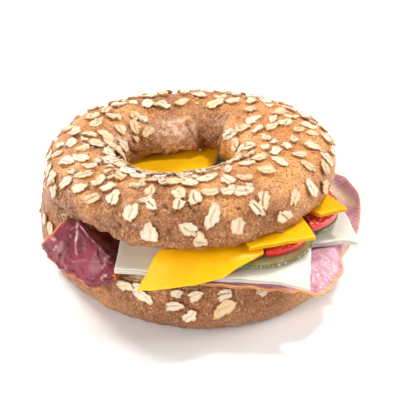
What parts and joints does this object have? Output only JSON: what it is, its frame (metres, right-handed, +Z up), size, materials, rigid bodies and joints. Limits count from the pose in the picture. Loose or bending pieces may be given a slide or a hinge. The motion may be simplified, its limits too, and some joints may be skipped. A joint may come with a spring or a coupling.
{
  "type": "bagel sandwich",
  "caption": "Sliced oat bagel filled with ham, white and yellow cheese, tomato and pickle, the slices' corners sticking out at the front and right.",
  "frame": {"origin": "bottom centre of the whole, on the surface it lies on", "axes": "+X to the viewer's right along the longest side, +Y away from the viewer of the picture, +Z up through the bagel's hole"},
  "size_m": [0.1263, 0.1198, 0.0572],
  "materials": {
    "crust": "dry baked crust with oat flakes",
    "cured_ham": "moist dark cured meat",
    "cooked_ham": "moist pale cooked meat",
    "white_cheese": "smooth satin cheese",
    "yellow_cheese": "smooth satin cheese",
    "pickle": "wet translucent slice",
    "tomato": "wet glossy slice"
  },
  "bodies": {
    "root": {"bagel_bottom": "crust", "bagel_top": "crust", "ham_cooked_right": "cooked_ham", "ham_cured_left": "cured_ham", "pickle_back": "pickle", "pickle_front": "pickle", "pickle_right": "pickle", "tomato_front": "tomato", "tomato_right": "tomato", "white_cheese_front": "white_cheese", "white_cheese_right": "white_cheese", "yellow_cheese_high": "yellow_cheese", "yellow_cheese_low": "yellow_cheese", "yellow_cheese_rear": "yellow_cheese", "yellow_cheese_right": "yellow_cheese"}
  },
  "joints": []
}
